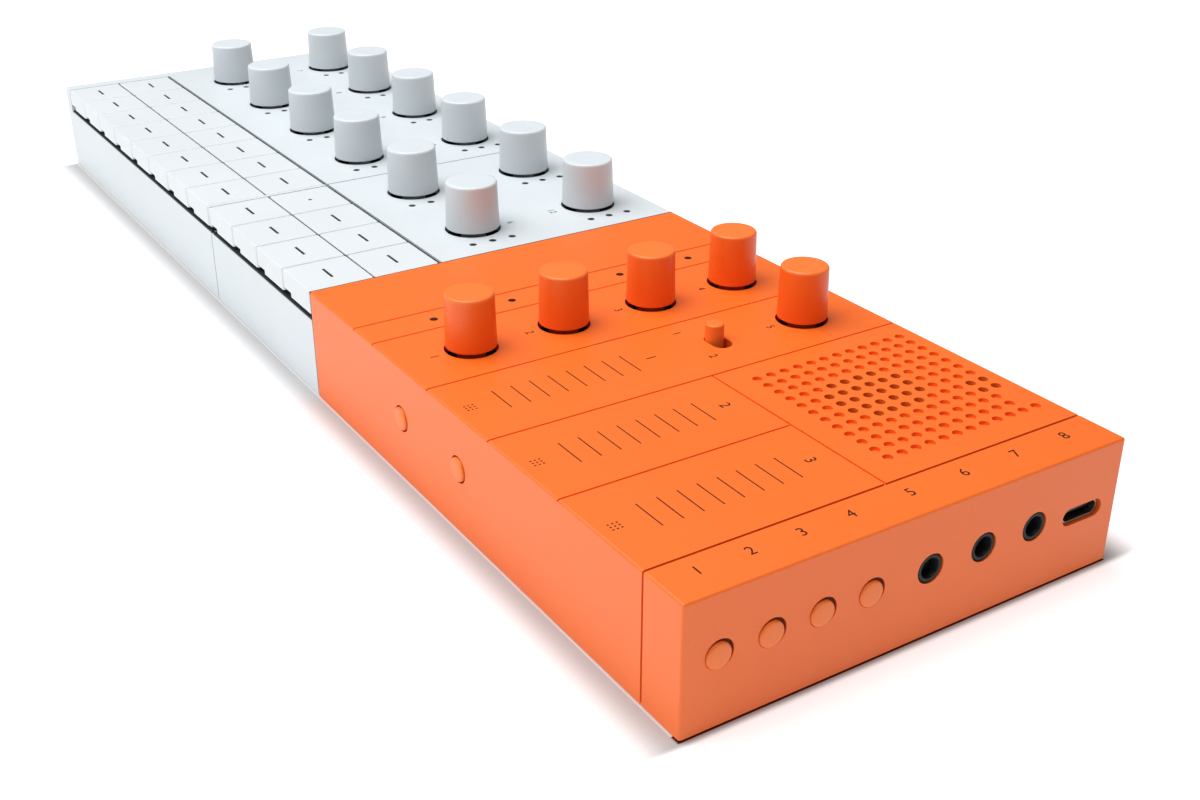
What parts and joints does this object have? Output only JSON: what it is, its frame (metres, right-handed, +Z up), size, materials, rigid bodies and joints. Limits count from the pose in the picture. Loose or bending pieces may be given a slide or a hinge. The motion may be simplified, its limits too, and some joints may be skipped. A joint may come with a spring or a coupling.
{
  "type": "groovebox",
  "caption": "Long flat desktop groovebox in white and orange with rows of square keys, plain endless knobs, touch strips, a speaker grille and an end face with round buttons and sockets.",
  "frame": {"origin": "on the table, under the middle of the case", "axes": "+X along the case towards the end with the sockets, +Y from the player's edge with the keys to the back, +Z up"},
  "size_m": [0.3435, 0.0975, 0.038],
  "materials": {
    "white_shell": "fine satin moulding",
    "orange_shell": "fine satin moulding",
    "white_key": "satin",
    "white_knob": "satin",
    "orange_knob": "satin",
    "orange_button": "satin",
    "base_grey": "fine satin moulding",
    "board_green": "solder mask",
    "black_plastic": "satin",
    "speaker_metal": "satin",
    "battery_wrap": "film wrap",
    "foot_rubber": "matt",
    "screw_steel": "zinc"
  },
  "bodies": {
    "chassis": {"left_housing": "white_shell", "centre_housing": "white_shell", "orange_housing": "orange_shell", "orange_end_cap": "orange_shell", "base_cover": "base_grey", "circuit_board": "board_green", "rotary_encoders": "black_plastic", "sockets": "black_plastic", "speaker_and_mic": "speaker_metal", "battery_pack": "battery_wrap", "rubber_feet": "foot_rubber", "case_screws": "screw_steel"},
    "key_front_01": {"key_front_01": "white_key"},
    "key_front_02": {"key_front_02": "white_key"},
    "key_front_03": {"key_front_03": "white_key"},
    "key_front_04": {"key_front_04": "white_key"},
    "key_front_05": {"key_front_05": "white_key"},
    "key_front_06": {"key_front_06": "white_key"},
    "key_front_07": {"key_front_07": "white_key"},
    "key_front_08": {"key_front_08": "white_key"},
    "key_front_09": {"key_front_09": "white_key"},
    "key_front_10": {"key_front_10": "white_key"},
    "key_front_11": {"key_front_11": "white_key"},
    "key_front_12": {"key_front_12": "white_key"},
    "key_back_01": {"key_back_01": "white_key"},
    "key_back_02": {"key_back_02": "white_key"},
    "key_back_03": {"key_back_03": "white_key"},
    "key_back_04": {"key_back_04": "white_key"},
    "key_back_05": {"key_back_05": "white_key"},
    "key_back_06": {"key_back_06": "white_key"},
    "key_back_07": {"key_back_07": "white_key"},
    "key_back_08": {"key_back_08": "white_key"},
    "key_back_09": {"key_back_09": "white_key"},
    "key_back_10": {"key_back_10": "white_key"},
    "key_back_11": {"key_back_11": "white_key"},
    "key_back_12": {"key_back_12": "white_key"},
    "white_knob_01": {"white_knob_01": "white_knob"},
    "white_knob_02": {"white_knob_02": "white_knob"},
    "white_knob_03": {"white_knob_03": "white_knob"},
    "white_knob_04": {"white_knob_04": "white_knob"},
    "white_knob_05": {"white_knob_05": "white_knob"},
    "white_knob_06": {"white_knob_06": "white_knob"},
    "white_knob_07": {"white_knob_07": "white_knob"},
    "white_knob_08": {"white_knob_08": "white_knob"},
    "white_knob_09": {"white_knob_09": "white_knob"},
    "white_knob_10": {"white_knob_10": "white_knob"},
    "white_knob_11": {"white_knob_11": "white_knob"},
    "white_knob_12": {"white_knob_12": "white_knob"},
    "orange_knob_1": {"orange_knob_1": "orange_knob"},
    "orange_knob_2": {"orange_knob_2": "orange_knob"},
    "orange_knob_3": {"orange_knob_3": "orange_knob"},
    "orange_knob_4": {"orange_knob_4": "orange_knob"},
    "orange_knob_5": {"orange_knob_5": "orange_knob"},
    "end_button_1": {"end_button_1": "orange_button"},
    "end_button_2": {"end_button_2": "orange_button"},
    "end_button_3": {"end_button_3": "orange_button"},
    "end_button_4": {"end_button_4": "orange_button"},
    "side_button_1": {"side_button_1": "orange_button"},
    "side_button_2": {"side_button_2": "orange_button"},
    "mode_slider": {"mode_slider": "orange_button"}
  },
  "joints": [
    {"name": "key_front_01_press", "type": "slide", "parent": "chassis", "child": "key_front_01", "axis": [0, 0, -1], "range_m": [0, 0.001], "stiffness_N_per_m": 800},
    {"name": "key_front_02_press", "type": "slide", "parent": "chassis", "child": "key_front_02", "axis": [0, 0, -1], "range_m": [0, 0.001], "stiffness_N_per_m": 800},
    {"name": "key_front_03_press", "type": "slide", "parent": "chassis", "child": "key_front_03", "axis": [0, 0, -1], "range_m": [0, 0.001], "stiffness_N_per_m": 800},
    {"name": "key_front_04_press", "type": "slide", "parent": "chassis", "child": "key_front_04", "axis": [0, 0, -1], "range_m": [0, 0.001], "stiffness_N_per_m": 800},
    {"name": "key_front_05_press", "type": "slide", "parent": "chassis", "child": "key_front_05", "axis": [0, 0, -1], "range_m": [0, 0.001], "stiffness_N_per_m": 800},
    {"name": "key_front_06_press", "type": "slide", "parent": "chassis", "child": "key_front_06", "axis": [0, 0, -1], "range_m": [0, 0.001], "stiffness_N_per_m": 800},
    {"name": "key_front_07_press", "type": "slide", "parent": "chassis", "child": "key_front_07", "axis": [0, 0, -1], "range_m": [0, 0.001], "stiffness_N_per_m": 800},
    {"name": "key_front_08_press", "type": "slide", "parent": "chassis", "child": "key_front_08", "axis": [0, 0, -1], "range_m": [0, 0.001], "stiffness_N_per_m": 800},
    {"name": "key_front_09_press", "type": "slide", "parent": "chassis", "child": "key_front_09", "axis": [0, 0, -1], "range_m": [0, 0.001], "stiffness_N_per_m": 800},
    {"name": "key_front_10_press", "type": "slide", "parent": "chassis", "child": "key_front_10", "axis": [0, 0, -1], "range_m": [0, 0.001], "stiffness_N_per_m": 800},
    {"name": "key_front_11_press", "type": "slide", "parent": "chassis", "child": "key_front_11", "axis": [0, 0, -1], "range_m": [0, 0.001], "stiffness_N_per_m": 800},
    {"name": "key_front_12_press", "type": "slide", "parent": "chassis", "child": "key_front_12", "axis": [0, 0, -1], "range_m": [0, 0.001], "stiffness_N_per_m": 800},
    {"name": "key_back_01_press", "type": "slide", "parent": "chassis", "child": "key_back_01", "axis": [0, 0, -1], "range_m": [0, 0.001], "stiffness_N_per_m": 800},
    {"name": "key_back_02_press", "type": "slide", "parent": "chassis", "child": "key_back_02", "axis": [0, 0, -1], "range_m": [0, 0.001], "stiffness_N_per_m": 800},
    {"name": "key_back_03_press", "type": "slide", "parent": "chassis", "child": "key_back_03", "axis": [0, 0, -1], "range_m": [0, 0.001], "stiffness_N_per_m": 800},
    {"name": "key_back_04_press", "type": "slide", "parent": "chassis", "child": "key_back_04", "axis": [0, 0, -1], "range_m": [0, 0.001], "stiffness_N_per_m": 800},
    {"name": "key_back_05_press", "type": "slide", "parent": "chassis", "child": "key_back_05", "axis": [0, 0, -1], "range_m": [0, 0.001], "stiffness_N_per_m": 800},
    {"name": "key_back_06_press", "type": "slide", "parent": "chassis", "child": "key_back_06", "axis": [0, 0, -1], "range_m": [0, 0.001], "stiffness_N_per_m": 800},
    {"name": "key_back_07_press", "type": "slide", "parent": "chassis", "child": "key_back_07", "axis": [0, 0, -1], "range_m": [0, 0.001], "stiffness_N_per_m": 800},
    {"name": "key_back_08_press", "type": "slide", "parent": "chassis", "child": "key_back_08", "axis": [0, 0, -1], "range_m": [0, 0.001], "stiffness_N_per_m": 800},
    {"name": "key_back_09_press", "type": "slide", "parent": "chassis", "child": "key_back_09", "axis": [0, 0, -1], "range_m": [0, 0.001], "stiffness_N_per_m": 800},
    {"name": "key_back_10_press", "type": "slide", "parent": "chassis", "child": "key_back_10", "axis": [0, 0, -1], "range_m": [0, 0.001], "stiffness_N_per_m": 800},
    {"name": "key_back_11_press", "type": "slide", "parent": "chassis", "child": "key_back_11", "axis": [0, 0, -1], "range_m": [0, 0.001], "stiffness_N_per_m": 800},
    {"name": "key_back_12_press", "type": "slide", "parent": "chassis", "child": "key_back_12", "axis": [0, 0, -1], "range_m": [0, 0.001], "stiffness_N_per_m": 800},
    {"name": "white_knob_01_turn", "type": "hinge", "parent": "chassis", "child": "white_knob_01", "pos_m": [-0.1503, 0.0007, 0.0259], "axis": [0, 0, 1], "continuous": true},
    {"name": "white_knob_02_turn", "type": "hinge", "parent": "chassis", "child": "white_knob_02", "pos_m": [-0.1177, 0.0007, 0.0259], "axis": [0, 0, 1], "continuous": true},
    {"name": "white_knob_03_turn", "type": "hinge", "parent": "chassis", "child": "white_knob_03", "pos_m": [-0.0851, 0.0007, 0.0259], "axis": [0, 0, 1], "continuous": true},
    {"name": "white_knob_04_turn", "type": "hinge", "parent": "chassis", "child": "white_knob_04", "pos_m": [-0.0525, 0.0007, 0.0259], "axis": [0, 0, 1], "continuous": true},
    {"name": "white_knob_05_turn", "type": "hinge", "parent": "chassis", "child": "white_knob_05", "pos_m": [-0.0185, 0.0007, 0.0259], "axis": [0, 0, 1], "continuous": true},
    {"name": "white_knob_06_turn", "type": "hinge", "parent": "chassis", "child": "white_knob_06", "pos_m": [0.0141, 0.0007, 0.0259], "axis": [0, 0, 1], "continuous": true},
    {"name": "white_knob_07_turn", "type": "hinge", "parent": "chassis", "child": "white_knob_07", "pos_m": [-0.1503, 0.0337, 0.0259], "axis": [0, 0, 1], "continuous": true},
    {"name": "white_knob_08_turn", "type": "hinge", "parent": "chassis", "child": "white_knob_08", "pos_m": [-0.1177, 0.0337, 0.0259], "axis": [0, 0, 1], "continuous": true},
    {"name": "white_knob_09_turn", "type": "hinge", "parent": "chassis", "child": "white_knob_09", "pos_m": [-0.0851, 0.0337, 0.0259], "axis": [0, 0, 1], "continuous": true},
    {"name": "white_knob_10_turn", "type": "hinge", "parent": "chassis", "child": "white_knob_10", "pos_m": [-0.0525, 0.0337, 0.0259], "axis": [0, 0, 1], "continuous": true},
    {"name": "white_knob_11_turn", "type": "hinge", "parent": "chassis", "child": "white_knob_11", "pos_m": [-0.0185, 0.0337, 0.0259], "axis": [0, 0, 1], "continuous": true},
    {"name": "white_knob_12_turn", "type": "hinge", "parent": "chassis", "child": "white_knob_12", "pos_m": [0.0141, 0.0337, 0.0259], "axis": [0, 0, 1], "continuous": true},
    {"name": "orange_knob_1_turn", "type": "hinge", "parent": "chassis", "child": "orange_knob_1", "pos_m": [0.07497, -0.0322, 0.0259], "axis": [0, 0, 1], "continuous": true},
    {"name": "orange_knob_2_turn", "type": "hinge", "parent": "chassis", "child": "orange_knob_2", "pos_m": [0.07497, -0.01035, 0.0259], "axis": [0, 0, 1], "continuous": true},
    {"name": "orange_knob_3_turn", "type": "hinge", "parent": "chassis", "child": "orange_knob_3", "pos_m": [0.07497, 0.0115, 0.0259], "axis": [0, 0, 1], "continuous": true},
    {"name": "orange_knob_4_turn", "type": "hinge", "parent": "chassis", "child": "orange_knob_4", "pos_m": [0.07497, 0.03335, 0.0259], "axis": [0, 0, 1], "continuous": true},
    {"name": "orange_knob_5_turn", "type": "hinge", "parent": "chassis", "child": "orange_knob_5", "pos_m": [0.0993, 0.03335, 0.0259], "axis": [0, 0, 1], "continuous": true},
    {"name": "end_button_1_press", "type": "slide", "parent": "chassis", "child": "end_button_1", "axis": [-1, 0, 0], "range_m": [0, 0.0006], "stiffness_N_per_m": 1500},
    {"name": "end_button_2_press", "type": "slide", "parent": "chassis", "child": "end_button_2", "axis": [-1, 0, 0], "range_m": [0, 0.0006], "stiffness_N_per_m": 1500},
    {"name": "end_button_3_press", "type": "slide", "parent": "chassis", "child": "end_button_3", "axis": [-1, 0, 0], "range_m": [0, 0.0006], "stiffness_N_per_m": 1500},
    {"name": "end_button_4_press", "type": "slide", "parent": "chassis", "child": "end_button_4", "axis": [-1, 0, 0], "range_m": [0, 0.0006], "stiffness_N_per_m": 1500},
    {"name": "side_button_1_press", "type": "slide", "parent": "chassis", "child": "side_button_1", "axis": [0, 1, 0], "range_m": [0, 0.0006], "stiffness_N_per_m": 1500},
    {"name": "side_button_2_press", "type": "slide", "parent": "chassis", "child": "side_button_2", "axis": [0, 1, 0], "range_m": [0, 0.0006], "stiffness_N_per_m": 1500},
    {"name": "mode_slider_slide", "type": "slide", "parent": "chassis", "child": "mode_slider", "axis": [1, 0, 0], "range_m": [0, 0.0025]}
  ]
}
